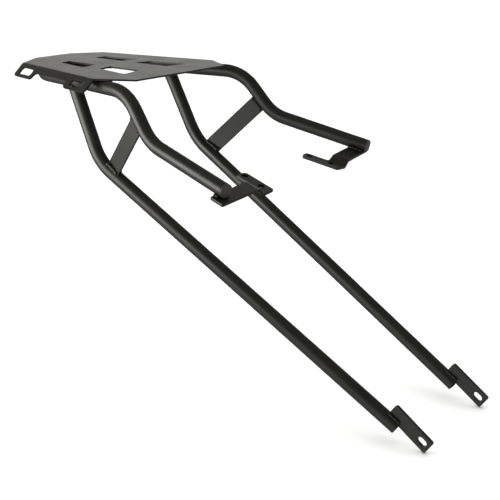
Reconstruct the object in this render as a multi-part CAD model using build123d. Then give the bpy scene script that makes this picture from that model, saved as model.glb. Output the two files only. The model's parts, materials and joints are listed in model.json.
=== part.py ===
"""Rear carrier rack for a motorcycle, welded from bent steel tube, sheet and flat bar.

Millimetres.  +X is the rider's right, +Y points forward, +Z up.  The origin is the middle of
the carrier plate's top face.  Every right-hand piece has a left-hand twin mirrored in the YZ plane.
"""

from build123d import *
from math import cos, radians, sin, sqrt, tan
import os

os.makedirs("parts", exist_ok=True)

# ---------------------------------------------------------------- tube stock
TUBE_OD = 19.0
TUBE_WALL = 2.0
TUBE_R = TUBE_OD / 2
BORE_R = TUBE_R - TUBE_WALL

# ---------------------------------------------------------------- carrier plate, folded sheet
SHEET = 2.5
PLATE_LENGTH = 251.0
REAR_EDGE_HALF = 36.0
REAR_CORNER_HALF = 85.5
REAR_CORNER_SETBACK = 24.0
FRONT_EDGE_HALF = 98.0
FRONT_CORNER_HALF = 132.0
FRONT_CORNER_SETBACK = 46.0
PLATE_CORNER_R = 4.0

# four tapered slots in the plate
SLOT_INNER_HALF = 27.5
REAR_SLOT_START = -66.5
REAR_SLOT_LENGTH = 54.0
REAR_SLOT_MARGIN = 48.0
FRONT_SLOT_START = 14.0
FRONT_SLOT_LENGTH = 56.0
FRONT_SLOT_MARGIN = 62.0
SLOT_CHEVRON = 12.0
SLOT_CORNER_R = 3.0

# flange folded down along each side, with two strap lugs
FLANGE_ANGLE = 45.0
FLANGE_DEPTH = 12.0
LUG_DEPTH = 23.5
REAR_LUG_LENGTH = 47.0
FRONT_LUG_LENGTH = 54.0
FOLD_INSIDE_R = 3.0
LUG_OUTER_R = 5.0
LUG_INNER_R = 6.0
STRAP_SLOT_LENGTH = 31.0
STRAP_SLOT_WIDTH = 12.0
STRAP_SLOT_EDGE = 4.5
REAR_STRAP_SLOT_SHIFT = 1.5
STRAP_SLOT_R = 4.0

# ---------------------------------------------------------------- hoop tube
ARM_SPREAD = 99.5
ARM_SPLAY = 12.5
HOOP_REAR_Y = -80.0
HOOP_CORNER_R = 47.5
CREST_Y = 135.7
FOOT_Y = 185.4
FOOT_Z = -70.9
ARM_END_Y = 328.7
ARM_END_FALL = 13.1
ARM_BEND_R = 60.0

# ---------------------------------------------------------------- stay tubes
STAY_TOP_Y = 13.8
ELBOW_X = 108.3
ELBOW_Y = 67.2
ELBOW_Z = -119.1
STAY_END_X = 82.2
STAY_END_Y = 532.9
STAY_END_Z = -391.1
STAY_BEND_R = 76.0

# ---------------------------------------------------------------- flat bar between arm and stay
GUSSET_T = 3.0
GUSSET_WIDTH = 25.5
RIGHT_GUSSET_ARM_SHARE = 0.53
RIGHT_GUSSET_STAY_Y = 87.5
LEFT_GUSSET_ARM_SHARE = 0.65
LEFT_GUSSET_STAY_Y = 91.0

# ---------------------------------------------------------------- lower fixing tabs, flat bar
TAB_T = 5.0
TAB_WIDTH = 20.0
TAB_FALL = 34.5
TAB_REACH = 33.95
TAB_RISE = 13.99
TAB_OUTSET = 0.3
TAB_NOSE = 11.6
TAB_TAIL = 53.0
TAB_SLOT_WIDTH = 9.0
TAB_SLOT_LENGTH = 14.0
TAB_CORNER_R = 3.0
SAW_CLEARANCE = 0.15

# ---------------------------------------------------------------- front brackets, folded sheet
BRACKET_T = 4.0
BRACKET_DROP = 7.5
BRACKET_LIP = 14.0
BRACKET_FOLD_START = 58.5
BRACKET_FOLD_R = 10.0
BRACKET_FOLD_ANGLE = 45.0
SEAT_WIDTH = 23.5
SEAT_SETBACK = 4.0
RIGHT_SEAT_SKEW = 14.0
LEFT_SEAT_SKEW = 2.0
STRIP_WIDTH = 18.5
STRIP_LENGTH = 54.5
STRIP_NOSE_SLANT = 5.0
BRACKET_HOLE_D = 9.0
BRACKET_HOLE_PITCH = 32.0
BRACKET_HOLE_TAIL = 8.5
BRACKET_CORNER_R = 4.0
BRACKET_TAIL_R = 5.0

# ---------------------------------------------------------------- end plugs
CAP_HEAD = 3.0
CAP_BEVEL = 0.9
CAP_JOINT_BEVEL = 0.4
CAP_STEM = 12.0
CAP_CLEARANCE = 0.1

# ---------------------------------------------------------------- weld beads
BEAD_R = 2.6
BEAD_BEVEL = 1.2
BEAD_END_GAP = 2.0
PLATE_BEAD_LENGTH = 33.0
PLATE_BEAD_FIRST_Y = 5.0
PLATE_BEAD_SECOND_Y = 75.0
TAB_BEAD_LENGTH = 17.0
TAB_BEAD_SETBACK = 9.0
# how far a bead's centreline stands off the metal, in bead radii
BEAD_LIFT = 0.2
BEAD_STEP = 0.35
# a bead between a tube and the sheet it lies on bites a little into both
SEAM_SPREAD = 1.7
SEAM_DROP = 0.75


def tube_profile(path, outer, inner=0.0):
    """Round section square to the start of a path."""
    ring = Circle(outer)
    if inner > 0:
        ring -= Circle(inner)
    return Plane(path @ 0, z_dir=path % 0) * ring


def bent_line(points, radii):
    """Straight runs through points, joined by arcs; radii belong to the inner points."""
    edges = []
    start = Vector(*points[0])
    for i, radius in enumerate(radii, start=1):
        corner = Vector(*points[i])
        back = (Vector(*points[i - 1]) - corner).normalized()
        ahead = (Vector(*points[i + 1]) - corner).normalized()
        half = radians(back.get_angle(ahead)) / 2
        reach = radius / tan(half)
        enter = corner + back * reach
        leave = corner + ahead * reach
        middle = corner + (back + ahead).normalized() * (radius / sin(half) - radius)
        edges.append(Line(start, enter))
        edges.append(ThreePointArc(enter, middle, leave))
        start = leave
    edges.append(Line(start, Vector(*points[-1])))
    return Wire([e for line in edges for e in line.edges()])


def rod(a, b, radius):
    """Solid round bar from a to b."""
    a = Vector(*a)
    b = Vector(*b)
    path = b - a
    return extrude(Plane(a, z_dir=path) * Circle(radius), path.length)


def bead(a, b, radius=BEAD_R):
    """Weld bead from a to b, bevelled at its ends, not yet cut back from the metal it joins."""
    bar = rod(a, b, radius)
    return chamfer(bar.edges().filter_by(GeomType.CIRCLE), BEAD_BEVEL)


def corner_points(sketch, spots, reach=0.05):
    """Vertices of a sketch that lie at the given spots."""
    found = ShapeList()
    for spot in spots:
        found += [v for v in sketch.vertices() if (Vector(v) - Vector(*spot)).length < reach]
    return found


def polygon(points):
    """Closed straight-sided outline."""
    return make_face(Polyline(*points, close=True))


def twin(shape):
    """Left-hand copy of a right-hand shape."""
    return mirror(shape, about=Plane.YZ)


# ================================================================ carrier plate
half_length = PLATE_LENGTH / 2
side_rear = Vector(REAR_CORNER_HALF, -half_length + REAR_CORNER_SETBACK, 0)
side_front = Vector(FRONT_CORNER_HALF, half_length - FRONT_CORNER_SETBACK, 0)
side = (side_front - side_rear).normalized()
side_length = (side_front - side_rear).length
outward = Vector(side.Y, -side.X, 0)
side_slope = side.X / side.Y

fold = radians(FLANGE_ANGLE)
fold_outside_r = FOLD_INSIDE_R + SHEET
fold_setback = fold_outside_r * tan(fold / 2)


def side_x(y):
    """Half width of the plate at y, measured to the sharp fold line."""
    return side_rear.X + (y - side_rear.Y) * side_slope


def plate_outline():
    """Eight-sided top view, with the sides held back where the fold begins."""
    a = side_rear - outward * fold_setback
    b = side_front - outward * fold_setback
    right = [
        (REAR_EDGE_HALF, -half_length),
        (a.X, a.Y),
        (b.X, b.Y),
        (FRONT_EDGE_HALF, half_length),
    ]
    left = [(-x, y) for x, y in reversed(right)]
    face = polygon(right + left)
    ends = [right[0], right[3], left[0], left[3]]
    return fillet(corner_points(face, [(x, y, 0) for x, y in ends]), PLATE_CORNER_R)


def plate_slot(start, length, margin):
    """One tapered slot: inner side along the rack, outer side along the plate's edge."""
    rise = tan(radians(SLOT_CHEVRON))
    inner = SLOT_INNER_HALF
    corners = []
    for y in (start, start + length):
        # meets the sloping outer side where the raised end crosses it
        x = (side_x(y) - margin - inner * rise * side_slope) / (1 - rise * side_slope)
        corners.append((x, y + (x - inner) * rise))
    outline = [(inner, start), corners[0], corners[1], (inner, start + length)]
    face = polygon(outline)
    return fillet(face.vertices(), SLOT_CORNER_R)


def flange():
    """Right side flange: folded strip cut to leave two lugs with strap slots."""
    normal = (outward + Vector(0, 0, 1)).normalized()
    depth = LUG_DEPTH
    # section square to the side: across = away from the plate, up = world up
    section_plane = Plane(side_rear, x_dir=outward, z_dir=-side)
    run = (cos(fold), -sin(fold))
    over = (sin(fold), cos(fold))
    top_start = (-fold_setback, 0)
    centre = (-fold_setback, -fold_outside_r)
    half_turn = (sin(fold / 2), cos(fold / 2))
    top_mid = (centre[0] + fold_outside_r * half_turn[0], centre[1] + fold_outside_r * half_turn[1])
    low_mid = (centre[0] + FOLD_INSIDE_R * half_turn[0], centre[1] + FOLD_INSIDE_R * half_turn[1])
    top_end = (centre[0] + fold_outside_r * over[0], centre[1] + fold_outside_r * over[1])
    low_end = (centre[0] + FOLD_INSIDE_R * over[0], centre[1] + FOLD_INSIDE_R * over[1])
    tip = (run[0] * depth, run[1] * depth)
    low_tip = (tip[0] - over[0] * SHEET, tip[1] - over[1] * SHEET)
    low_start = (-fold_setback, -SHEET)
    outline = [
        ThreePointArc(top_start, top_mid, top_end),
        Line(top_end, tip),
        Line(tip, low_tip),
        Line(low_tip, low_end),
        ThreePointArc(low_end, low_mid, low_start),
        Line(low_start, top_start),
    ]
    section = make_face([e for line in outline for e in line.edges()])
    strip = extrude(section_plane * section, -side_length)
    # contour in the leg's own plane: first axis along the side, second up the leg
    leg = Plane(side_rear, x_dir=side, z_dir=normal)
    front = side_length
    beyond_fold = 2 * fold_outside_r
    lug_ends = [(0, -depth), (REAR_LUG_LENGTH, -depth), (front - FRONT_LUG_LENGTH, -depth), (front, -depth)]
    roots = [(REAR_LUG_LENGTH, -FLANGE_DEPTH), (front - FRONT_LUG_LENGTH, -FLANGE_DEPTH)]
    contour = polygon([
        (0, beyond_fold), lug_ends[0], lug_ends[1], roots[0],
        roots[1], lug_ends[2], lug_ends[3], (front, beyond_fold),
    ])
    contour = fillet(corner_points(contour, [(x, y, 0) for x, y in lug_ends]), LUG_OUTER_R)
    contour = fillet(corner_points(contour, [(x, y, 0) for x, y in roots]), LUG_INNER_R)
    hole_y = -depth + STRAP_SLOT_EDGE + STRAP_SLOT_WIDTH / 2
    for middle in (REAR_LUG_LENGTH / 2 + REAR_STRAP_SLOT_SHIFT, front - FRONT_LUG_LENGTH / 2):
        hole = RectangleRounded(STRAP_SLOT_LENGTH, STRAP_SLOT_WIDTH, STRAP_SLOT_R)
        contour -= Pos(middle, hole_y) * hole
    return strip & extrude(leg * contour, beyond_fold, both=True)


right_flange = flange()
top_plate = extrude(plate_outline(), -SHEET) + right_flange + twin(right_flange)
for start, length, margin in (
    (REAR_SLOT_START, REAR_SLOT_LENGTH, REAR_SLOT_MARGIN),
    (FRONT_SLOT_START, FRONT_SLOT_LENGTH, FRONT_SLOT_MARGIN),
):
    opening = extrude(plate_slot(start, length, margin), SHEET * 2, both=True)
    top_plate -= opening
    top_plate -= twin(opening)

# ================================================================ hoop tube
splay = tan(radians(ARM_SPLAY))
deck_axis_z = -SHEET - TUBE_R


def arm_x(y):
    """Half spread of the arms' centrelines at y."""
    return ARM_SPREAD + splay * y


arm_end_z = FOOT_Z - tan(radians(ARM_END_FALL)) * (ARM_END_Y - FOOT_Y)
hoop_rear = Vector(arm_x(HOOP_REAR_Y), HOOP_REAR_Y, deck_axis_z)
crest = Vector(arm_x(CREST_Y), CREST_Y, deck_axis_z)
foot = Vector(arm_x(FOOT_Y), FOOT_Y, FOOT_Z)
arm_end = Vector(arm_x(ARM_END_Y), ARM_END_Y, arm_end_z)

right_half = [arm_end, foot, crest, hoop_rear]
left_half = [Vector(-p.X, p.Y, p.Z) for p in reversed(right_half)]
half_radii = [ARM_BEND_R, ARM_BEND_R, HOOP_CORNER_R]
hoop_line = bent_line(right_half + left_half, half_radii + half_radii[::-1])
hoop_tube = sweep(tube_profile(hoop_line, TUBE_R, BORE_R), path=hoop_line)

arm_line = bent_line(right_half, half_radii[:2])
arm_core = sweep(tube_profile(arm_line, TUBE_R), path=arm_line)

# ================================================================ stay tubes
stay_top = Vector(arm_x(STAY_TOP_Y), STAY_TOP_Y, deck_axis_z)
elbow = Vector(ELBOW_X, ELBOW_Y, ELBOW_Z)
stay_end = Vector(STAY_END_X, STAY_END_Y, STAY_END_Z)
stay_line = bent_line([stay_top, elbow, stay_end], [STAY_BEND_R])
stay_core = sweep(tube_profile(stay_line, TUBE_R), path=stay_line)
stay = sweep(tube_profile(stay_line, TUBE_R, BORE_R), path=stay_line) - arm_core
stay_run = (stay_end - elbow).normalized()

# ================================================================ lower tabs
tab_fall = radians(TAB_FALL)
tab_run = Vector(0, cos(tab_fall), -sin(tab_fall))
tab_up = Vector(0, sin(tab_fall), cos(tab_fall))
tab_slot = stay_end + tab_run * TAB_REACH + tab_up * TAB_RISE + Vector(TAB_OUTSET, 0, 0)
tab_plane = Plane(tab_slot, x_dir=tab_run, z_dir=(1, 0, 0))


def tab_blank(grow=0.0):
    """Flat bar outline about its fixing slot, grown on every side by grow."""
    length = TAB_NOSE + TAB_TAIL
    blank = RectangleRounded(length + 2 * grow, TAB_WIDTH + 2 * grow, TAB_CORNER_R + grow)
    return Pos((TAB_NOSE - TAB_TAIL) / 2, 0) * blank


tab_face = tab_blank() - SlotOverall(TAB_SLOT_LENGTH, TAB_SLOT_WIDTH)
tab = extrude(tab_plane * tab_face, TAB_T / 2, both=True)
saw_cut = extrude(tab_plane * tab_blank(SAW_CLEARANCE), TAB_T / 2 + SAW_CLEARANCE, both=True)
stay -= saw_cut

# ================================================================ gussets
arm_fall = (foot - crest).normalized()


class GussetPlace:
    """Where one flat bar runs from the arm's falling run down to the stay."""

    def __init__(self, arm_share, stay_y):
        self.arm = crest + (foot - crest) * arm_share
        self.stay = elbow + stay_run * ((stay_y - ELBOW_Y) / stay_run.Y)
        self.run = (self.arm - self.stay).normalized()
        self.normal = self.run.cross(arm_fall).normalized()

    def bar(self):
        """Flat bar coped to both tubes."""
        plane = Plane((self.arm + self.stay) / 2, x_dir=self.run, z_dir=self.normal)
        blank = Rectangle((self.arm - self.stay).length, GUSSET_WIDTH)
        return extrude(plane * blank, GUSSET_T / 2, both=True) - arm_core - stay_core


right_place = GussetPlace(RIGHT_GUSSET_ARM_SHARE, RIGHT_GUSSET_STAY_Y)
left_place = GussetPlace(LEFT_GUSSET_ARM_SHARE, LEFT_GUSSET_STAY_Y)
right_gusset = right_place.bar()
left_gusset = left_place.bar()

# ================================================================ front brackets
ahead = (arm_end - foot).normalized()
flat_ahead = Vector(ahead.X, ahead.Y, 0).normalized()
inboard = Vector(-flat_ahead.Y, flat_ahead.X, 0)
square_up = ahead.cross(inboard)


def bracket_section():
    """Line across the bracket: level seat, easy double fold, level strip lower down."""
    turn = radians(BRACKET_FOLD_ANGLE)
    drop_in_curves = 2 * BRACKET_FOLD_R * (1 - cos(turn))
    slant = (BRACKET_DROP - drop_in_curves) / sin(turn)
    seat_z = -TUBE_R - BRACKET_T / 2
    half_turn = Vector(sin(turn / 2), cos(turn / 2)) * BRACKET_FOLD_R
    full_turn = Vector(sin(turn), cos(turn)) * BRACKET_FOLD_R
    spare = Vector(BRACKET_T, 0)
    outer = Vector(-BRACKET_LIP, seat_z)
    fold = Vector(BRACKET_FOLD_START, seat_z)
    upper_centre = fold - Vector(0, BRACKET_FOLD_R)
    slant_top = upper_centre + full_turn
    slant_end = slant_top + Vector(cos(turn), -sin(turn)) * slant
    lower_centre = slant_end + full_turn
    strip = lower_centre - Vector(0, BRACKET_FOLD_R)
    lines = [
        Line(outer - spare, fold),
        ThreePointArc(fold, upper_centre + half_turn, slant_top),
        Line(slant_top, slant_end),
        ThreePointArc(slant_end, lower_centre - half_turn, strip),
        Line(strip, strip + Vector(STRIP_WIDTH, 0) + spare),
    ]
    return Wire([e for line in lines for e in line.edges()]), strip.X


def bracket(skew):
    """Right-hand bracket under the arm's end; skew turns the seat's edges from the tube's square."""
    line, strip_outer = bracket_section()
    strip_inner = strip_outer + STRIP_WIDTH
    band = make_face(line.offset_2d(BRACKET_T / 2, side=Side.BOTH, closed=True))
    folded = extrude(Plane(arm_end, x_dir=inboard, z_dir=ahead) * band, 2 * STRIP_LENGTH, both=True)
    lead = tan(radians(skew)) * (BRACKET_FOLD_START + BRACKET_LIP)
    front = -SEAT_SETBACK
    rear = front - SEAT_WIDTH
    nose = front - STRIP_NOSE_SLANT
    tail = nose - STRIP_LENGTH
    lip = -BRACKET_LIP
    notch = (rear - STRIP_NOSE_SLANT / 2, strip_outer)
    corners = [(front + lead, lip), (rear + lead, lip), (nose, strip_inner)]
    tails = [(tail, strip_inner), (tail, strip_outer)]
    outline = polygon([
        corners[0], (front, BRACKET_FOLD_START), (front, strip_outer), corners[2],
        tails[0], tails[1], notch, (rear, BRACKET_FOLD_START), corners[1],
    ])
    outline = fillet(corner_points(outline, [(x, y, 0) for x, y in corners]), BRACKET_CORNER_R / 2)
    outline = fillet(corner_points(outline, [(x, y, 0) for x, y in tails]), BRACKET_TAIL_R)
    outline = fillet(corner_points(outline, [(*notch, 0)]), BRACKET_CORNER_R)
    hole_y = (strip_outer + strip_inner) / 2
    for step in (0, BRACKET_HOLE_PITCH):
        outline -= Pos(tail + BRACKET_HOLE_TAIL + step, hole_y) * Circle(BRACKET_HOLE_D / 2)
    plan = Plane(arm_end, x_dir=ahead, z_dir=square_up)
    return folded & extrude(plan * outline, 2 * (TUBE_R + BRACKET_T + BRACKET_DROP), both=True)


right_bracket = bracket(RIGHT_SEAT_SKEW)
left_bracket = twin(bracket(LEFT_SEAT_SKEW))

# ================================================================ end caps
cap_plane = Plane(arm_end, z_dir=ahead)
cap_head = extrude(cap_plane * Circle(TUBE_R), CAP_HEAD)


def rim(shape, place):
    """Circular edge of a plug at the given place in order along the arm."""
    circles = shape.edges().filter_by(GeomType.CIRCLE)
    return circles.sort_by(lambda e: (e.center() - arm_end).dot(ahead))[place]


cap_head = chamfer(rim(cap_head, -1), CAP_BEVEL)
cap_head = chamfer(rim(cap_head, 0), CAP_JOINT_BEVEL)
end_cap = cap_head + extrude(cap_plane * Circle(BORE_R - CAP_CLEARANCE), -CAP_STEM)

# ================================================================ weld beads


def group(shapes):
    """Separate solids kept together as one piece."""
    return Compound([solid for shape in shapes for solid in shape.solids()])


def trimmed(shape, *metal):
    """Bead cut back from the metal it joins; crumbs left on the far side are dropped."""
    for piece in metal:
        shape = shape - piece
    return shape.solids().sort_by(SortBy.VOLUME)[-1]


def along_seam(spot, direction, length, radius=BEAD_R):
    """Bead of the given length centred on spot."""
    half = direction.normalized() * (length / 2)
    return bead(spot - half, spot + half, radius)


seam_side = SEAM_SPREAD * sqrt(TUBE_R * BEAD_R)
seam_drop = SEAM_DROP * BEAD_R
arm_ahead = Vector(splay, 1, 0).normalized()
arm_inboard = Vector(-arm_ahead.Y, arm_ahead.X, 0)


def deck_bead(y):
    """Bead in the corner between the plate and the inner side of the right arm."""
    spot = Vector(arm_x(y), y, -SHEET - seam_drop) + arm_inboard * seam_side
    return trimmed(along_seam(spot, arm_ahead, PLATE_BEAD_LENGTH), arm_core, top_plate)


cross_middle = Vector(0, HOOP_REAR_Y, deck_axis_z)
cross_half = Vector(PLATE_BEAD_LENGTH, 0, 0)
cross_core = rod(cross_middle - cross_half, cross_middle + cross_half, TUBE_R)
cross_spot = Vector(0, HOOP_REAR_Y + seam_side, -SHEET - seam_drop)
cross_bead = trimmed(along_seam(cross_spot, Vector(1, 0, 0), PLATE_BEAD_LENGTH), cross_core, top_plate)

deck_beads = [deck_bead(y) for y in (PLATE_BEAD_FIRST_Y, PLATE_BEAD_SECOND_Y)]

stay_rise = (stay_top - elbow).normalized()
collar_reach = 2 * TUBE_OD
collar = rod(stay_top, stay_top - stay_rise * collar_reach, TUBE_R + BEAD_R)
sheath = rod(stay_top - arm_ahead * collar_reach, stay_top + arm_ahead * collar_reach, TUBE_R + BEAD_R)
stay_bead = (collar & sheath) - arm_core - stay_core


def gusset_beads(place, bar, spot, tube_direction, toward):
    """Beads on both faces of a gusset where it meets a tube; toward points along the gusset."""
    direction = tube_direction.normalized()
    out = (toward - direction * toward.dot(direction)).normalized()
    middle = spot + toward * ((TUBE_R + BEAD_R * BEAD_LIFT) / toward.dot(out))
    beads = []
    for face in (1, -1):
        offset = place.normal * face * (GUSSET_T / 2 + BEAD_R * BEAD_STEP)
        blank = along_seam(middle + offset, direction, GUSSET_WIDTH - 2 * BEAD_END_GAP)
        beads.append(trimmed(blank, arm_core, stay_core, bar))
    return group(beads)


def upper_beads(place, bar):
    """Beads where a gusset meets the arm."""
    return gusset_beads(place, bar, place.arm, arm_fall, -place.run)


def lower_beads(place, bar):
    """Beads where a gusset meets the stay."""
    return gusset_beads(place, bar, place.stay, stay_run, place.run)


def bracket_beads(seat, skew):
    """Beads in both corners between the arm and the bracket seat."""
    beads = []
    for sideways in (-1, 1):
        lead = tan(radians(skew)) * (BRACKET_FOLD_START - sideways * seam_side)
        front = min(0, lead - SEAT_SETBACK)
        rear = lead - SEAT_SETBACK - SEAT_WIDTH
        spot = arm_end + ahead * ((front + rear) / 2) + inboard * sideways * seam_side
        spot = spot - square_up * (TUBE_R - seam_drop)
        blank = along_seam(spot, ahead, front - rear - 2 * BEAD_END_GAP)
        beads.append(trimmed(blank, arm_core, seat))
    return group(beads)


right_bracket_beads = bracket_beads(right_bracket, RIGHT_SEAT_SKEW)
left_bracket_beads = twin(bracket_beads(twin(left_bracket), LEFT_SEAT_SKEW))


def tab_beads():
    """Beads along the top of the stay on both faces of the tab."""
    beads = []
    top = stay_run.cross(Vector(1, 0, 0)).normalized()
    if top.Z < 0:
        top = -top
    for face in (1, -1):
        reach = TAB_T / 2 + BEAD_R * BEAD_STEP
        rise = sqrt(TUBE_R ** 2 - reach ** 2) + BEAD_R * BEAD_LIFT
        spot = stay_end - stay_run * TAB_BEAD_SETBACK + top * rise
        spot = Vector(tab_slot.X + face * reach, spot.Y, spot.Z)
        beads.append(trimmed(along_seam(spot, stay_run, TAB_BEAD_LENGTH), stay_core, tab))
    return group(beads)


tab_bead = tab_beads()

# ================================================================ export
pieces = {
    "top_plate": top_plate,
    "hoop_tube": hoop_tube,
    "deck_weld_beads": group([
        *deck_beads, *[twin(shape) for shape in deck_beads], cross_bead,
    ]),
    "right_front_bracket": right_bracket,
    "left_front_bracket": left_bracket,
    "right_bracket_weld_beads": right_bracket_beads,
    "left_bracket_weld_beads": left_bracket_beads,
    "right_gusset": right_gusset,
    "left_gusset": twin(left_gusset),
    "right_gusset_upper_weld_beads": upper_beads(right_place, right_gusset),
    "left_gusset_upper_weld_beads": twin(upper_beads(left_place, left_gusset)),
    "right_gusset_lower_weld_beads": lower_beads(right_place, right_gusset),
    "left_gusset_lower_weld_beads": twin(lower_beads(left_place, left_gusset)),
}
pairs = {
    "stay_tube": stay,
    "stay_weld_bead": stay_bead,
    "lower_tab": tab,
    "tab_weld_beads": tab_bead,
    "end_cap": end_cap,
}
for name, shape in pairs.items():
    pieces["right_" + name] = shape
    pieces["left_" + name] = twin(shape)

for name, shape in pieces.items():
    export_step(shape, f"parts/{name}.step")
    print(name, len(shape.solids()), round(shape.volume, 1))
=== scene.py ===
"""Studio scene for a motorcycle rear rack: powder-coated tube, sheet and flat bar, welded."""

import json
import logging
from dataclasses import dataclass
from enum import Enum
from math import cos, pi, radians, sin

import bpy
import numpy as np
from mathutils import Euler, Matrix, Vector


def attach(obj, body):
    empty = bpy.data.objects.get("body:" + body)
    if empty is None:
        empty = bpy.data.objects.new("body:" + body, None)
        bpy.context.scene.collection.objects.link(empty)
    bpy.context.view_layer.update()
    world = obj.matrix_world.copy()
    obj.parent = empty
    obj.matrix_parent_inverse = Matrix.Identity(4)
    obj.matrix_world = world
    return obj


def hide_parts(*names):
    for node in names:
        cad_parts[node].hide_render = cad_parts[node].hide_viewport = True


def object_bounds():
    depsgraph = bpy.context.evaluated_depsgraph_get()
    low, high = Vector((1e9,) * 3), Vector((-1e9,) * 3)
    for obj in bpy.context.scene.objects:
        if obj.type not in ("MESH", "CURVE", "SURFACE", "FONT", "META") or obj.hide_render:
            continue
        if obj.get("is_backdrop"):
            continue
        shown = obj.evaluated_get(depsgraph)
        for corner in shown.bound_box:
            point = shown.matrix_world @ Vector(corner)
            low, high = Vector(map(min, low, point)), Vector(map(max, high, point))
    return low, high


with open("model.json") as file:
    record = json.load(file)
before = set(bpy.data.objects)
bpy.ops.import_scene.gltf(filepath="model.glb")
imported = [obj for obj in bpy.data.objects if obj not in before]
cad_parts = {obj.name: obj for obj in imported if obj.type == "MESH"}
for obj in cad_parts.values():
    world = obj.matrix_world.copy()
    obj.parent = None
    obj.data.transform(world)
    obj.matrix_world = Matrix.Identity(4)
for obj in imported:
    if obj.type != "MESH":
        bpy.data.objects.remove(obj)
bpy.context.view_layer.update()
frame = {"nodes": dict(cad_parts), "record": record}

MM = 0.001
POLYMER_IOR = 1.5
WARM_WHITE = (1.0, 0.995, 0.935)

# corners of a node closer than this are one corner, and facets within this angle are one face
SAME_CORNER_MM = 0.002
SAME_FACE_DEG = 0.5

# beads heavier than the usual one, in millimetres
BRACKET_BEAD = {"puddle_mm": 2.5, "pitch_mm": 3.0}
GUSSET_BEAD = {"puddle_mm": 2.8, "pitch_mm": 3.5, "swell": 0.15}
log = logging.getLogger("rack")


# ---------------------------------------------------------------- colour and node helpers
def linear(code: str) -> tuple[float, float, float, float]:
    """Turn an sRGB hex colour into the linear colour a shader takes.

    Args:
        code: six hex digits, with or without a leading #.

    Returns:
        Red, green, blue and alpha.
    """
    knee, slope, offset, power = 0.04045, 12.92, 0.055, 2.4
    channels = [part / 255 for part in bytes.fromhex(code.lstrip("#"))]
    flat = [
        c / slope if c <= knee else ((c + offset) / (1 + offset)) ** power for c in channels
    ]
    return (*flat, 1.0)


def add_node(
    tree: bpy.types.NodeTree, kind: str, inputs: dict | None = None, settings: dict | None = None
) -> bpy.types.Node:
    """Add one shader node with its settings and links.

    Args:
        tree: the material's or world's node tree.
        kind: the node's type name.
        inputs: socket name or number to a value, or to the output socket to link from.
        settings: attribute name to value.

    Returns:
        The new node.
    """
    node = tree.nodes.new(kind)
    for name, value in (settings or {}).items():
        setattr(node, name, value)
    for name, value in (inputs or {}).items():
        if isinstance(value, bpy.types.NodeSocket):
            tree.links.new(value, node.inputs[name])
        else:
            node.inputs[name].default_value = value
    return node


# ---------------------------------------------------------------- finishes
@dataclass(frozen=True)
class PowderCoat:
    """Polyester powder coat baked on steel: satin black, a little uneven, with orange peel.

    The powder melts into a skin that never levels fully, so reflections are soft and slightly
    broken up, and the film is a touch browner and duller where it went on thicker. The peel is
    drawn about twice as coarse as the real one, so that it shows.
    """

    name: str = "powder_coat_satin_black"
    thin_colour: str = "#11110e"
    thick_colour: str = "#181711"
    roughness_low: float = 0.38
    roughness_high: float = 0.44
    patch_mm: float = 38.0
    patch_thin: float = 0.3
    patch_thick: float = 0.7
    peel_mm: float = 2.8
    peel_depth_mm: float = 0.07
    grain_mm: float = 0.35
    grain_depth_mm: float = 0.009

    def material(self) -> bpy.types.Material:
        """Build the node material.

        Returns:
            The material.
        """
        coat = bpy.data.materials.new(self.name)
        coat.use_nodes = True
        tree = coat.node_tree
        tree.nodes.clear()
        place = add_node(tree, "ShaderNodeTexCoord").outputs["Object"]
        patches = self._noise(tree, place, self.patch_mm, detail=2.0)
        peel = self._noise(tree, place, self.peel_mm, detail=1.0)
        grain = self._noise(tree, place, self.grain_mm, detail=3.0)
        colour = add_node(
            tree,
            "ShaderNodeMix",
            {"Factor": patches, 6: linear(self.thin_colour), 7: linear(self.thick_colour)},
            {"data_type": "RGBA"},
        )
        gloss = add_node(
            tree,
            "ShaderNodeMapRange",
            {"Value": patches, "From Min": self.patch_thin, "From Max": self.patch_thick,
             "To Min": self.roughness_low, "To Max": self.roughness_high},
        )
        orange_peel = add_node(
            tree,
            "ShaderNodeBump",
            {"Strength": 1.0, "Distance": self.peel_depth_mm * MM, "Height": peel},
        )
        speckle = add_node(
            tree,
            "ShaderNodeBump",
            {"Strength": 1.0, "Distance": self.grain_depth_mm * MM, "Height": grain,
             "Normal": orange_peel.outputs["Normal"]},
        )
        skin = add_node(
            tree,
            "ShaderNodeBsdfPrincipled",
            {"Base Color": colour.outputs[2], "Roughness": gloss.outputs["Result"],
             "Metallic": 0.0, "IOR": POLYMER_IOR, "Normal": speckle.outputs["Normal"]},
        )
        add_node(tree, "ShaderNodeOutputMaterial", {"Surface": skin.outputs["BSDF"]})
        return coat

    @staticmethod
    def _noise(
        tree: bpy.types.NodeTree, place: bpy.types.NodeSocket, size_mm: float, detail: float
    ) -> bpy.types.NodeSocket:
        """Noise whose lumps are about size_mm across.

        Args:
            tree: the material's node tree.
            place: the socket that gives the place on the piece.
            size_mm: how wide a lump is.
            detail: how many finer layers it has.

        Returns:
            The socket with the noise's height.
        """
        noise = add_node(
            tree,
            "ShaderNodeTexNoise",
            {"Vector": place, "Scale": 1 / (size_mm * MM), "Detail": detail, "Roughness": 0.5},
        )
        return noise.outputs["Fac"]


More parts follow.
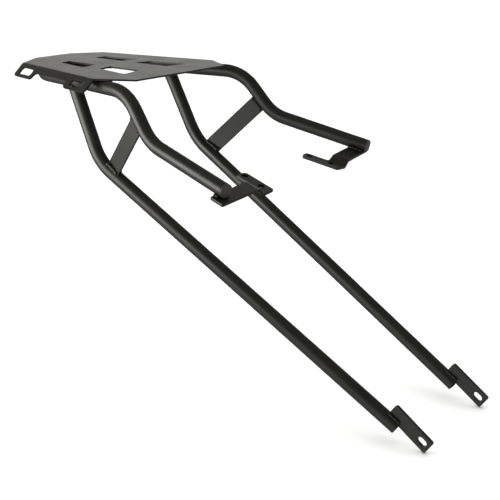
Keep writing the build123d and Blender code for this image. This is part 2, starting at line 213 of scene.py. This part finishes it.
@dataclass(frozen=True)
class PaintedBoreShade:
    """Painted shade for bolt-hole walls: a dull, near-black coat standing in for the shade inside
    the bore.
    """

    name: str = "bore_wall_painted_shade"
    # painted shade: near-black colour with little gloss, for the shaded inside of bolt holes
    colour: str = "#0b0b0a"
    roughness: float = 0.85
    specular: float = 0.12
    dust_mm: float = 0.6
    dust_depth_mm: float = 0.03

    def material(self) -> bpy.types.Material:
        """Build the node material.

        Returns:
            The material.
        """
        shade_material = bpy.data.materials.new(self.name)
        shade_material.use_nodes = True
        tree = shade_material.node_tree
        tree.nodes.clear()
        place = add_node(tree, "ShaderNodeTexCoord").outputs["Object"]
        dust = add_node(
            tree, "ShaderNodeTexNoise", {"Vector": place, "Scale": 1 / (self.dust_mm * MM)}
        )
        pitted = add_node(
            tree,
            "ShaderNodeBump",
            {"Strength": 1.0, "Distance": self.dust_depth_mm * MM, "Height": dust.outputs["Fac"]},
        )
        skin = add_node(
            tree,
            "ShaderNodeBsdfPrincipled",
            {"Base Color": linear(self.colour), "Roughness": self.roughness, "Metallic": 0.0,
             "Specular IOR Level": self.specular, "Normal": pitted.outputs["Normal"]},
        )
        add_node(tree, "ShaderNodeOutputMaterial", {"Surface": skin.outputs["BSDF"]})
        return shade_material


@dataclass(frozen=True)
class MouldedPlastic:
    """Injection-moulded polyethylene: dark grey, with the fine even bloom of its mould."""

    name: str = "polyethylene_black"
    colour: str = "#393834"
    roughness: float = 0.36
    texture_mm: float = 0.5
    texture_depth_mm: float = 0.01

    def material(self) -> bpy.types.Material:
        """Build the node material.

        Returns:
            The material.
        """
        plastic = bpy.data.materials.new(self.name)
        plastic.use_nodes = True
        tree = plastic.node_tree
        tree.nodes.clear()
        place = add_node(tree, "ShaderNodeTexCoord").outputs["Object"]
        pits = add_node(
            tree,
            "ShaderNodeTexVoronoi",
            {"Vector": place, "Scale": 1 / (self.texture_mm * MM)},
        )
        texture = add_node(
            tree,
            "ShaderNodeBump",
            {"Strength": 1.0, "Distance": self.texture_depth_mm * MM,
             "Height": pits.outputs["Distance"]},
        )
        skin = add_node(
            tree,
            "ShaderNodeBsdfPrincipled",
            {"Base Color": linear(self.colour), "Roughness": self.roughness, "Metallic": 0.0,
             "IOR": POLYMER_IOR, "Normal": texture.outputs["Normal"]},
        )
        add_node(tree, "ShaderNodeOutputMaterial", {"Surface": skin.outputs["BSDF"]})
        return plastic


@dataclass(frozen=True)
class StudioPaper:
    """Matt white seamless paper."""

    name: str = "white_paper"
    colour: str = "#f2f2f2"
    roughness: float = 0.9

    def material(self) -> bpy.types.Material:
        """Build the plain matt material.

        Returns:
            The material.
        """
        paper = bpy.data.materials.new(self.name)
        paper.use_nodes = True
        skin = paper.node_tree.nodes["Principled BSDF"]
        skin.inputs["Base Color"].default_value = linear(self.colour)
        skin.inputs["Roughness"].default_value = self.roughness
        skin.inputs["Specular IOR Level"].default_value = 0.0
        return paper


# ---------------------------------------------------------------- mesh helpers
def select_only(piece: bpy.types.Object) -> None:
    """Make one object the only selected and active one.

    Args:
        piece: the object.
    """
    bpy.ops.object.select_all(action="DESELECT")
    piece.select_set(True)
    bpy.context.view_layer.objects.active = piece


def apply_modifier(piece: bpy.types.Object, kind: str, **settings: object) -> None:
    """Add a modifier with its settings and apply it.

    Args:
        piece: the piece to change.
        kind: the modifier's type name.
        settings: the modifier's own settings.
    """
    select_only(piece)
    modifier = piece.modifiers.new(kind.title(), kind)
    for name, value in settings.items():
        setattr(modifier, name, value)
    bpy.ops.object.modifier_apply(modifier=modifier.name)


def merged_copy(node: str, name: str) -> bpy.types.Object:
    """Copy a node's mesh into a new piece with shared corners and its flat facets joined up.

    Args:
        node: the node to copy.
        name: the new piece's name.

    Returns:
        The new piece, with nothing yet said of what it rides on.
    """
    mesh = frame["nodes"][node].data.copy()
    mesh.materials.clear()
    piece = bpy.data.objects.new(name, mesh)
    bpy.context.scene.collection.objects.link(piece)
    if mesh.has_custom_normals:
        select_only(piece)
        bpy.ops.mesh.customdata_custom_splitnormals_clear()
    select_only(piece)
    bpy.ops.object.mode_set(mode="EDIT")
    bpy.ops.mesh.select_all(action="SELECT")
    bpy.ops.mesh.remove_doubles(threshold=SAME_CORNER_MM * MM)
    bpy.ops.mesh.normals_make_consistent(inside=False)
    bpy.ops.mesh.dissolve_limited(angle_limit=radians(SAME_FACE_DEG))
    bpy.ops.object.mode_set(mode="OBJECT")
    return piece


def seat(
    piece: bpy.types.Object, coat: bpy.types.Material, node: str
) -> None:
    """Dress a piece, ride it on the rack and let it stand for a node.

    Args:
        piece: the finished piece.
        coat: its material.
        node: the node that it stands for.
    """
    piece.data.materials.clear()
    piece.data.materials.append(coat)
    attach(piece, "root")
    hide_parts(node)
    log.info("%s: %d faces", piece.name, len(piece.data.polygons))


# ---------------------------------------------------------------- sub-assemblies
@dataclass
class Tubes:
    """Bent tubes, kept as they are and given their coat."""

    coat: bpy.types.Material
    nodes: tuple[str, ...] = ("hoop_tube", "right_stay_tube", "left_stay_tube")

    def dress(self) -> None:
        """Put the coat on every tube."""
        for name in self.nodes:
            tube = frame["nodes"][name]
            tube.data.materials.clear()
            tube.data.materials.append(self.coat)
            log.info("%s dressed", name)


@dataclass
class SheetPiece:
    """Piece cut from sheet or flat bar, whose sawn or laser-cut edges are rounded by the coat."""

    node: str
    coat: bpy.types.Material
    slot: str = "powder_coat"
    edge_mm: float = 0.5
    segments: int = 2
    corner_deg: float = 35.0
    bore_shade_paint: bpy.types.Material | None = None
    bore_margin_mm: float = 0.7
    bore_wall_lean: float = 0.5

    def build(self) -> bpy.types.Object:
        """Round the edges of a copy of the node, and paint shade on the walls of its bores.

        Returns:
            The finished piece.
        """
        piece = merged_copy(self.node, f"{self.node}_coated")
        apply_modifier(
            piece,
            "BEVEL",
            width=self.edge_mm * MM,
            segments=self.segments,
            limit_method="ANGLE",
            angle_limit=radians(self.corner_deg),
            use_clamp_overlap=True,
        )
        select_only(piece)
        bpy.ops.object.shade_smooth_by_angle(angle=radians(self.corner_deg))
        apply_modifier(piece, "WEIGHTED_NORMAL", mode="FACE_AREA", keep_sharp=True)
        seat(piece, self.coat, self.node)
        if self.bore_shade_paint:
            self._paint_bore_shade(piece)
        return piece

    def _paint_bore_shade(self, piece: bpy.types.Object) -> None:
        """Give the walls of the stated bores a near-black material that paints in their shade.

        Args:
            piece: the finished piece, which already has its main coat.
        """
        # painted shade: faces on the bore walls get the near-black second material
        piece.data.materials.append(self.bore_shade_paint)
        side = self.node.split("_")[0]
        mounts = frame["record"]["mounts"]
        bores = [m for m in mounts if m["kind"] == "bore" and m["name"].startswith(side)]
        for bore in bores:
            middle, axis = Vector(bore["pos_m"]), Vector(bore["axis"]).normalized()
            reach = (bore["dims"]["r_mm"] + self.bore_margin_mm) * MM
            for face in piece.data.polygons:
                away = face.center - middle
                radial = away - axis * away.dot(axis)
                if radial.length < reach and abs(face.normal.dot(axis)) < self.bore_wall_lean:
                    face.material_index = 1


@dataclass
class EndCap:
    """Moulded plug in the end of an arm: a disc with a soft rim, on a stem pressed into the tube."""

    node: str
    plastic: bpy.types.Material
    head_mm: float = 3.0
    stem_mm: float = 12.0
    stem_radius_mm: float = 7.4
    rim_mm: float = 2.0
    rim_segments: int = 6
    joint_mm: float = 0.95
    joint_segments: int = 2
    sides: int = 96
    smooth_deg: float = 40.0
    facing: float = 0.999

    def build(self) -> bpy.types.Object:
        """Mould the plug on the node's own face and axis.

        Returns:
            The finished piece.
        """
        middle, axis, radius = self._face()
        spot = middle - axis * (self.head_mm * MM / 2)
        bpy.ops.object.select_all(action="DESELECT")
        bpy.ops.mesh.primitive_cylinder_add(
            vertices=self.sides,
            radius=radius,
            depth=self.head_mm * MM,
            location=spot,
            rotation=axis.to_track_quat("Z", "Y").to_euler(),
        )
        piece = bpy.context.object
        piece.name = f"{self.node}_moulded"
        bpy.ops.object.transform_apply(location=True, rotation=True, scale=True)
        bpy.ops.object.mode_set(mode="EDIT")
        self._select_end(piece, axis)
        bpy.ops.mesh.bevel(offset=self.rim_mm * MM, segments=self.rim_segments, affect="EDGES")
        self._select_end(piece, -axis)
        bpy.ops.mesh.bevel(
            offset=self.joint_mm * MM, segments=self.joint_segments, affect="EDGES"
        )
        self._select_end(piece, -axis)
        shoulder = radius - (self.joint_mm + self.stem_radius_mm) * MM
        bpy.ops.mesh.inset(thickness=shoulder)
        bpy.ops.mesh.extrude_region_move(
            TRANSFORM_OT_translate={"value": axis * (-self.stem_mm * MM)}
        )
        bpy.ops.mesh.select_all(action="SELECT")
        bpy.ops.mesh.normals_make_consistent(inside=False)
        bpy.ops.object.mode_set(mode="OBJECT")
        bpy.ops.object.shade_smooth_by_angle(angle=radians(self.smooth_deg))
        seat(piece, self.plastic, self.node)
        return piece

    def _face(self) -> tuple[Vector, Vector, float]:
        """Find the middle, outward axis and radius of the node's head.

        Returns:
            The middle of the front face, the axis, and the head's radius.
        """
        guide = merged_copy(self.node, f"{self.node}_guide")
        disc = max(guide.data.polygons, key=lambda face: face.area)
        axis = disc.normal.normalized()
        corners = [guide.data.vertices[k].co.copy() for k in disc.vertices]
        middle = sum(corners, Vector()) / len(corners)
        points = [vertex.co - middle for vertex in guide.data.vertices]
        radius = max((point - axis * point.dot(axis)).length for point in points)
        bpy.data.objects.remove(guide)
        return middle, axis, radius

    def _select_end(self, piece: bpy.types.Object, way: Vector) -> None:
        """Select the flat end face that looks a given way, and nothing else.

        Args:
            piece: the plug, in edit mode.
            way: the way that the end face looks.
        """
        bpy.ops.mesh.select_mode(type="FACE")
        bpy.ops.mesh.select_all(action="DESELECT")
        bpy.ops.object.mode_set(mode="OBJECT")
        ends = [face for face in piece.data.polygons if face.normal.dot(way) > self.facing]
        max(ends, key=lambda face: face.area).select = True
        bpy.ops.object.mode_set(mode="EDIT")


class Seam(Enum):
    """How a weld runs: along a straight corner, or right round a tube."""

    STRAIGHT = "straight"
    ROUND = "round"


@dataclass
class WeldRun:
    """Hand-laid beads: rows of overlapping puddles that froze one after another, under the coat."""

    node: str
    coat: bpy.types.Material
    seam: Seam = Seam.STRAIGHT
    puddle_mm: float = 1.85
    pitch_mm: float = 2.3
    swell: float = 0.1
    unevenness: float = 2.4
    ball_levels: int = 3
    grid_mm: float = 0.3
    settle: float = 0.5
    settle_steps: int = 3

    def build(self) -> bpy.types.Object:
        """Lay every bead of the node and let its puddles run together.

        Returns:
            The finished piece.
        """
        spots = [spot for cloud in self._clouds() for spot in self._stations(cloud)]
        bpy.ops.object.select_all(action="DESELECT")
        bpy.ops.mesh.primitive_ico_sphere_add(
            subdivisions=self.ball_levels, radius=self.puddle_mm * MM
        )
        piece = bpy.context.object
        piece.name = f"{self.node}_rippled"
        bpy.ops.object.mode_set(mode="EDIT")
        bpy.ops.transform.translate(value=spots[0])
        size = 1.0
        for number, (here, ahead) in enumerate(zip(spots, spots[1:]), start=1):
            new_size = 1 + self.swell * sin(self.unevenness * number)
            ratio = new_size / size
            bpy.ops.mesh.duplicate()
            bpy.ops.transform.resize(value=(ratio, ratio, ratio), center_override=here)
            bpy.ops.transform.translate(value=ahead - here)
            size = new_size
        bpy.ops.object.mode_set(mode="OBJECT")
        apply_modifier(piece, "REMESH", mode="VOXEL", voxel_size=self.grid_mm * MM)
        apply_modifier(piece, "SMOOTH", factor=self.settle, iterations=self.settle_steps)
        select_only(piece)
        bpy.ops.object.shade_smooth()
        seat(piece, self.coat, self.node)
        return piece

    def _clouds(self) -> list[np.ndarray]:
        """Spread points evenly over each bead of the node.

        Returns:
            One array of points for each bead.
        """
        guide = merged_copy(self.node, f"{self.node}_guide")
        apply_modifier(guide, "REMESH", mode="VOXEL", voxel_size=self.grid_mm * MM)
        select_only(guide)
        bpy.ops.mesh.separate(type="LOOSE")
        beads = list(bpy.context.selected_objects)
        clouds = [np.array([vertex.co for vertex in bead.data.vertices]) for bead in beads]
        for bead in beads:
            bpy.data.objects.remove(bead)
        return clouds

    def _stations(self, cloud: np.ndarray) -> list[Vector]:
        """Find where the puddles of one bead lie.

        Args:
            cloud: points spread evenly over the bead.

        Returns:
            The middle of each puddle, in order along the bead.
        """
        offset = cloud - cloud.mean(axis=0)
        _, _, ways = np.linalg.svd(offset, full_matrices=False)
        steepest = np.abs(ways).argmax(axis=1)
        ways *= np.sign(ways[np.arange(len(ways)), steepest])[:, None]
        long_way, cross_way, _ = (offset @ ways.T).T
        if self.seam is Seam.ROUND:
            place = np.arctan2(cross_way, long_way)
            run = 2 * pi * np.hypot(cross_way, long_way).mean()
        else:
            place = long_way
            run = np.ptp(long_way)
        count = max(2, round(float(run) / (self.pitch_mm * MM)))
        edges = np.linspace(place.min(), place.max(), count + 1)
        slot = np.clip(np.digitize(place, edges) - 1, 0, count - 1)
        return [Vector(cloud[slot == k].mean(axis=0)) for k in range(count)]


# ---------------------------------------------------------------- studio
@dataclass(frozen=True)
class Softbox:
    """Rectangular lamp that the coat mirrors as a soft band."""

    name: str
    place: tuple[float, float, float]
    aim: tuple[float, float, float]
    width: float
    height: float
    radiance: float

    def hang(self) -> None:
        """Hang the lamp and aim it."""
        panel = bpy.data.lights.new(self.name, "AREA")
        panel.shape = "RECTANGLE"
        panel.size, panel.size_y = self.width, self.height
        panel.energy = self.radiance * pi * self.width * self.height
        panel.color = WARM_WHITE
        lamp = bpy.data.objects.new(self.name, panel)
        bpy.context.scene.collection.objects.link(lamp)
        lamp.visible_camera = False
        lamp.location = self.place
        sight = Vector(self.aim) - Vector(self.place)
        lamp.rotation_euler = sight.to_track_quat("-Z", "Y").to_euler()


@dataclass(frozen=True)
class Ceiling:
    """Wide overhead light that whitens the floor and leaves no mirrored spot on the coat."""

    name: str = "ceiling_light"
    irradiance: float = 3.6
    spread_deg: float = 100.0
    tilt_deg: tuple[float, float, float] = (12.0, -10.0, 0.0)

    def hang(self) -> None:
        """Hang the light."""
        glow = bpy.data.lights.new(self.name, "SUN")
        glow.energy = self.irradiance
        glow.angle = radians(self.spread_deg)
        lamp = bpy.data.objects.new(self.name, glow)
        bpy.context.scene.collection.objects.link(lamp)
        lamp.rotation_euler = Euler([radians(turn) for turn in self.tilt_deg], "XYZ")
        lamp.visible_glossy = False


@dataclass(frozen=True)
class StudioWalls:
    """Room light: walls brightest at bench height, a dark ceiling and a lit patch low to one side.

    The room itself is seen as plain white beyond the floor, and lights the rack by its own shades.
    """

    shades: tuple[tuple[float, float], ...] = (
        (-90.0, 0.2), (-14.0, 0.27), (0.0, 0.45), (8.0, 0.5),
        (20.0, 0.26), (35.0, 0.1), (60.0, 0.1), (85.0, 0.22),
    )
    patch_azimuth_deg: float = -30.0
    patch_elevation_deg: float = -22.0
    patch_reach_deg: float = 60.0
    patch_glow: float = 0.62

    def build(self) -> None:
        """Set the world's light; each shade is an elevation in degrees and a radiance."""
        world = bpy.data.worlds.new("studio_walls")
        bpy.context.scene.world = world
        world.use_nodes = True
        tree = world.node_tree
        tree.nodes.clear()
        way = add_node(tree, "ShaderNodeTexCoord").outputs["Generated"]
        height = add_node(tree, "ShaderNodeSeparateXYZ", {"Vector": way}).outputs["Z"]
        level = add_node(
            tree, "ShaderNodeMapRange", {"Value": height, "From Min": -1.0, "From Max": 1.0}
        )
        ramp = add_node(tree, "ShaderNodeValToRGB", {"Fac": level.outputs["Result"]})
        stops = ramp.color_ramp.elements
        places = [*stops, *(stops.new(1) for _ in self.shades[len(stops):])]
        for (elevation, share), stop in zip(self.shades, places):
            stop.position = (sin(radians(elevation)) + 1) / 2
            stop.color = (*(share * tint for tint in WARM_WHITE), 1)
        walls = add_node(
            tree, "ShaderNodeBackground", {"Color": ramp.outputs["Color"], "Strength": 1.0}
        )
        azimuth, elevation = radians(self.patch_azimuth_deg), radians(self.patch_elevation_deg)
        patch_way = (cos(azimuth) * cos(elevation), sin(azimuth) * cos(elevation), sin(elevation))
        closeness = add_node(
            tree, "ShaderNodeVectorMath", {0: way, 1: patch_way}, {"operation": "DOT_PRODUCT"}
        )
        patch_share = add_node(
            tree,
            "ShaderNodeMapRange",
            {"Value": closeness.outputs["Value"], "From Min": cos(radians(self.patch_reach_deg)),
             "From Max": 1.0, "To Min": 0.0, "To Max": self.patch_glow},
            {"interpolation_type": "SMOOTHSTEP"},
        )
        patch = add_node(
            tree,
            "ShaderNodeBackground",
            {"Color": (*WARM_WHITE, 1), "Strength": patch_share.outputs["Result"]},
        )
        light = add_node(
            tree,
            "ShaderNodeAddShader",
            {0: walls.outputs["Background"], 1: patch.outputs["Background"]},
        )
        backdrop = add_node(tree, "ShaderNodeBackground", {"Color": (1, 1, 1, 1), "Strength": 1.0})
        seen = add_node(tree, "ShaderNodeLightPath").outputs["Is Camera Ray"]
        room = add_node(
            tree,
            "ShaderNodeMixShader",
            {0: seen, 1: light.outputs["Shader"], 2: backdrop.outputs["Background"]},
        )
        add_node(tree, "ShaderNodeOutputWorld", {"Surface": room.outputs["Shader"]})


@dataclass
class Studio:
    """Pale floor, soft light and camera."""

    floor_gap_mm: float = 1.0
    floor_size: float = 80.0
    lamps: tuple[Softbox, ...] = (
        Softbox(
            name="side_softbox",
            place=(0.62, -0.46, -0.01),
            aim=(0.13, -0.46, -0.01),
            width=0.72,
            height=0.5,
            radiance=7.2,
        ),
        Softbox(
            name="side_fill",
            place=(0.62, 0.02, -0.12),
            aim=(0.13, 0.02, -0.12),
            width=0.4,
            height=0.3,
            radiance=2.0,
        ),
        Softbox(
            name="back_panel",
            place=(-1.9, -1.6, 0.45),
            aim=(0.0, 0.0, 0.0),
            width=3.0,
            height=1.0,
            radiance=0.85,
        ),
    )
    camera_place: tuple[float, float, float] = (1.2090, 1.0862, 0.2223)
    camera_turn_deg: tuple[float, float, float] = (72.680, -1.285, 125.161)
    lens_mm: float = 79.2
    sensor_mm: float = 36.0

    def floor(self) -> None:
        """Lay white paper just under the lowest point."""
        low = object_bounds()[0][2] - self.floor_gap_mm * MM
        bpy.ops.object.select_all(action="DESELECT")
        bpy.ops.mesh.primitive_plane_add(size=self.floor_size, location=(0, 0, low))
        paper = bpy.context.object
        paper.name = "studio_floor"
        paper.data.materials.append(StudioPaper().material())
        # the paper lights the rack but isn't mirrored in it, so the tubes keep dark undersides
        paper.visible_glossy = False
        paper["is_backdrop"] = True

    def camera(self) -> None:
        """Set up the camera."""
        optics = bpy.data.cameras.new("studio_camera")
        optics.lens = self.lens_mm
        optics.sensor_width = self.sensor_mm
        eye = bpy.data.objects.new("studio_camera", optics)
        bpy.context.scene.collection.objects.link(eye)
        eye.location = self.camera_place
        eye.rotation_euler = Euler([radians(turn) for turn in self.camera_turn_deg], "XYZ")
        bpy.context.scene.camera = eye

    def build(self) -> None:
        """Put up the whole studio."""
        bpy.context.scene.view_settings.view_transform = "Standard"
        self.floor()
        StudioWalls().build()
        Ceiling().hang()
        for lamp in self.lamps:
            lamp.hang()
        self.camera()


def main() -> None:
    """Dress every piece, then put up the studio."""
    logging.basicConfig(level=logging.INFO, format="%(message)s")
    coat = PowderCoat().material()
    plastic = MouldedPlastic().material()
    shade_for_bores = PaintedBoreShade().material()
    Tubes(coat).dress()
    SheetPiece("top_plate", coat).build()
    WeldRun("deck_weld_beads", coat).build()
    for side in ("right", "left"):
        # the bracket's bolt-hole walls get painted shade
        SheetPiece(f"{side}_front_bracket", coat, bore_shade_paint=shade_for_bores).build()
        for name in ("gusset", "lower_tab"):
            SheetPiece(f"{side}_{name}", coat).build()
        EndCap(f"{side}_end_cap", plastic).build()
        WeldRun(f"{side}_bracket_weld_beads", coat, **BRACKET_BEAD).build()
        for name in ("gusset_upper", "gusset_lower"):
            WeldRun(f"{side}_{name}_weld_beads", coat, **GUSSET_BEAD).build()
        WeldRun(f"{side}_tab_weld_beads", coat).build()
        WeldRun(f"{side}_stay_weld_bead", coat, Seam.ROUND).build()
    Studio().build()


if __name__ == "__main__":
    main()
